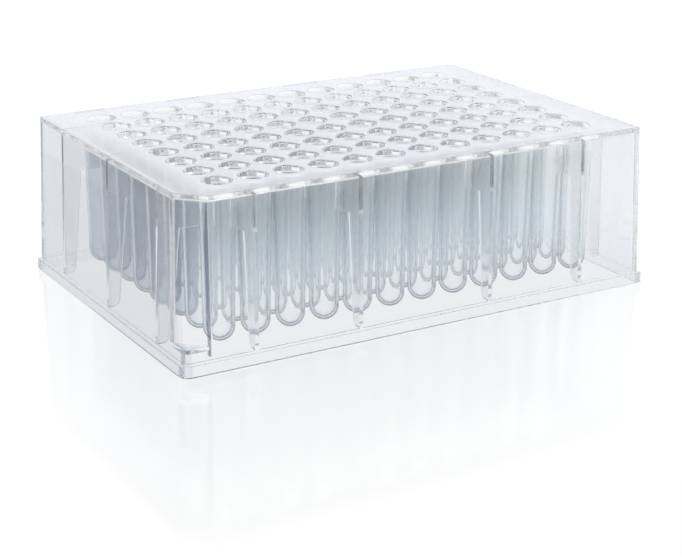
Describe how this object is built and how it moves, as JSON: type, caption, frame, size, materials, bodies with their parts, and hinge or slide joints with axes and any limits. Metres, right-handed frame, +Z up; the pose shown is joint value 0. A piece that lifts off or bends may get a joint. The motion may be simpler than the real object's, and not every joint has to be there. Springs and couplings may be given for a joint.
{
  "type": "well plate",
  "caption": "Clear deep-well plate: a rectangular deck of round-bottomed sample wells on a drafted skirt with a flange, one corner cut off as a key.",
  "frame": {"origin": "centre of the footprint, on the surface the plate stands on", "axes": "+X along the rows of wells (the long side), +Y along the columns, +Z up out of the wells; the cut-off corner is at -X -Y"},
  "size_m": [0.1278, 0.0854, 0.0403],
  "materials": {
    "clear_polystyrene": "clear, glossy"
  },
  "bodies": {
    "root": {"well_plate": "clear_polystyrene"}
  },
  "joints": []
}
